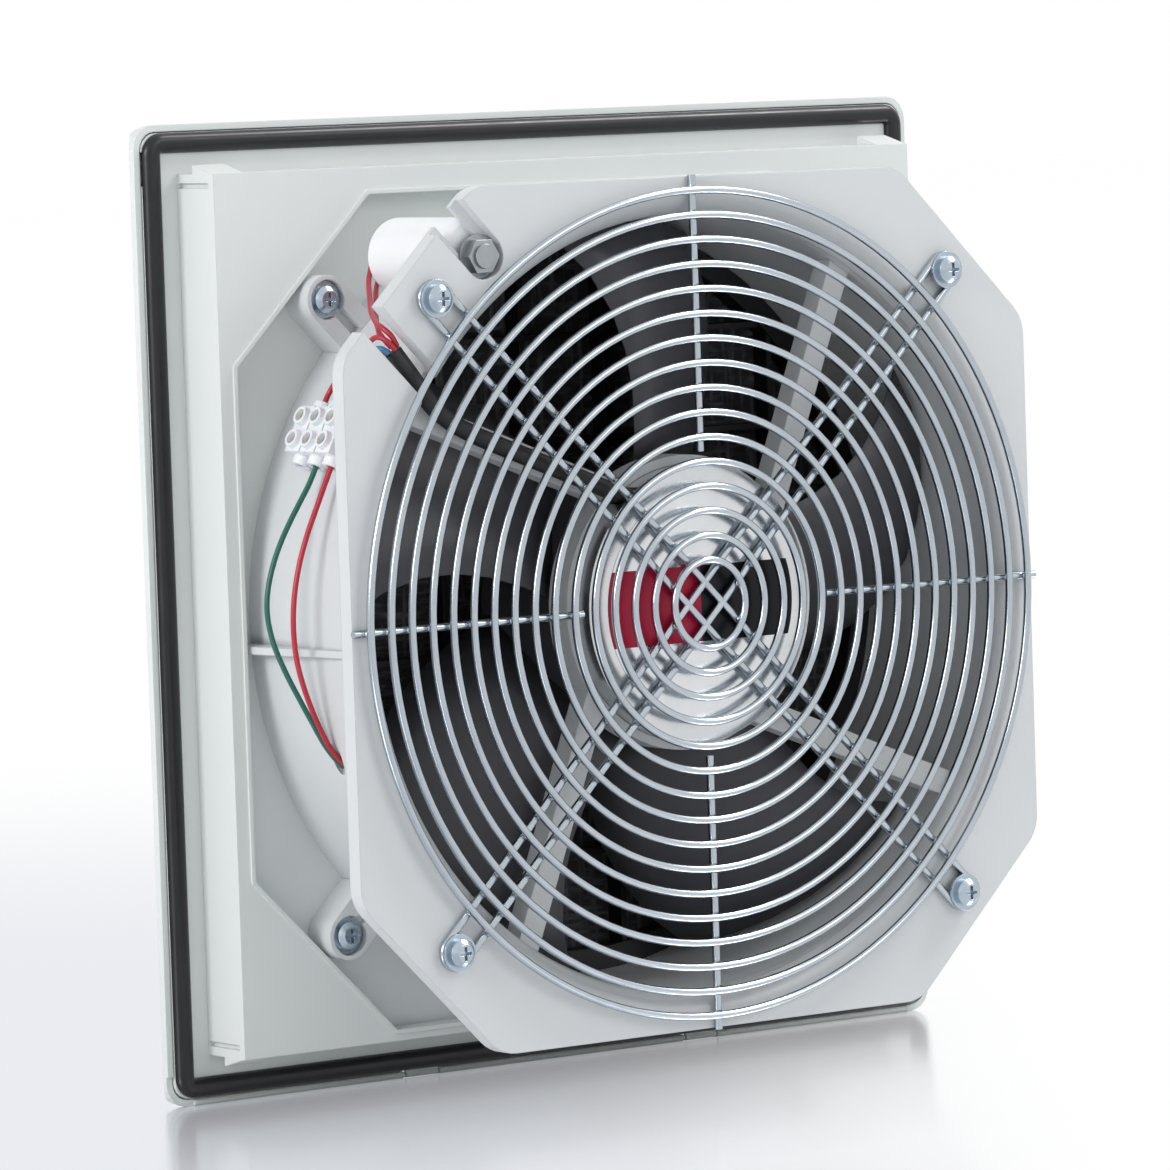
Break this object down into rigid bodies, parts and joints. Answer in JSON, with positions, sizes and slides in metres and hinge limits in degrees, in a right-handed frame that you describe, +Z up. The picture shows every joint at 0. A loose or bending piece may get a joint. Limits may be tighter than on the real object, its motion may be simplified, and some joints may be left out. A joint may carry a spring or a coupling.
{
  "type": "cabinet filter fan",
  "caption": "Filter fan for a cabinet wall: louvred hinged cover, square base frame with gasket and filter mat, axial fan with wire guard.",
  "frame": {"origin": "centre of the panel cut-out, on the flange face that bears on the cabinet panel", "axes": "+Z up, +Y out of the flange into the cabinet along the fan's axis, +X to the right seen from the louvred front"},
  "size_m": [0.32, 0.1098, 0.32],
  "materials": {
    "frame_plastic": "moulded light grey plastic, fine texture",
    "grid_plastic": "moulded black plastic",
    "gasket_foam": "smooth-skinned foamed sealing strip",
    "filter_fleece": "charcoal filter fleece",
    "fan_housing_paint": "die-cast, painted light grey",
    "motor_alloy": "bright die-cast",
    "label_foil": "brushed foil with a plain two-colour band",
    "stator_steel": "stacked sheet",
    "winding_copper": "enamelled wire",
    "bearing_steel": "ground",
    "rotor_black": "satin dark grey coating",
    "guard_zinc": "bright zinc-plated wire",
    "screw_zinc": "blue zinc plate",
    "capacitor_white": "smooth white case",
    "terminal_clear": "milky polyamide",
    "terminal_brass": "turned",
    "sleeve_black": "matt sleeve",
    "lead_red": "smooth insulation",
    "lead_blue": "smooth insulation",
    "lead_brown": "smooth insulation",
    "lead_green": "smooth insulation"
  },
  "bodies": {
    "frame": {"base_frame": "frame_plastic", "inlet_grid": "grid_plastic", "gasket": "gasket_foam", "filter_mat": "filter_fleece", "fan_plate": "fan_housing_paint", "fan_shroud": "fan_housing_paint", "fan_feet": "fan_housing_paint", "fan_struts": "fan_housing_paint", "motor_base": "motor_alloy", "motor_label": "label_foil", "stator_core": "stator_steel", "stator_windings": "winding_copper", "ball_bearings": "bearing_steel", "guard_rings": "guard_zinc", "guard_spokes": "guard_zinc", "guard_screws": "screw_zinc", "guard_washers": "screw_zinc", "foot_screws": "screw_zinc", "foot_washers": "screw_zinc", "capacitor": "capacitor_white", "capacitor_stud": "screw_zinc", "capacitor_nut": "screw_zinc", "capacitor_washer": "screw_zinc", "terminal_block": "terminal_clear", "terminal_screws": "terminal_brass", "motor_cable": "sleeve_black", "motor_lead_red": "lead_red", "motor_lead_blue": "lead_blue", "motor_lead_brown": "lead_brown", "capacitor_lead_a": "lead_red", "capacitor_lead_b": "lead_red", "green_wire": "lead_green", "red_wire": "lead_red"},
    "impeller": {"rotor_cup": "rotor_black", "rotor_ring": "stator_steel", "shaft": "bearing_steel", "circlip": "bearing_steel", "impeller_blades": "rotor_black"},
    "cover": {"front_cover": "frame_plastic", "cover_louvres": "frame_plastic", "hinge_pins": "bearing_steel"}
  },
  "joints": [
    {"name": "impeller_spin", "type": "hinge", "parent": "frame", "child": "impeller", "pos_m": [0, 0.04, -0.0025], "axis": [0, 1, 0], "continuous": true},
    {"name": "cover_hinge", "type": "hinge", "parent": "frame", "child": "cover", "pos_m": [0, -0.00125, -0.1589], "axis": [1, 0, 0], "range_deg": [0, 90]}
  ]
}
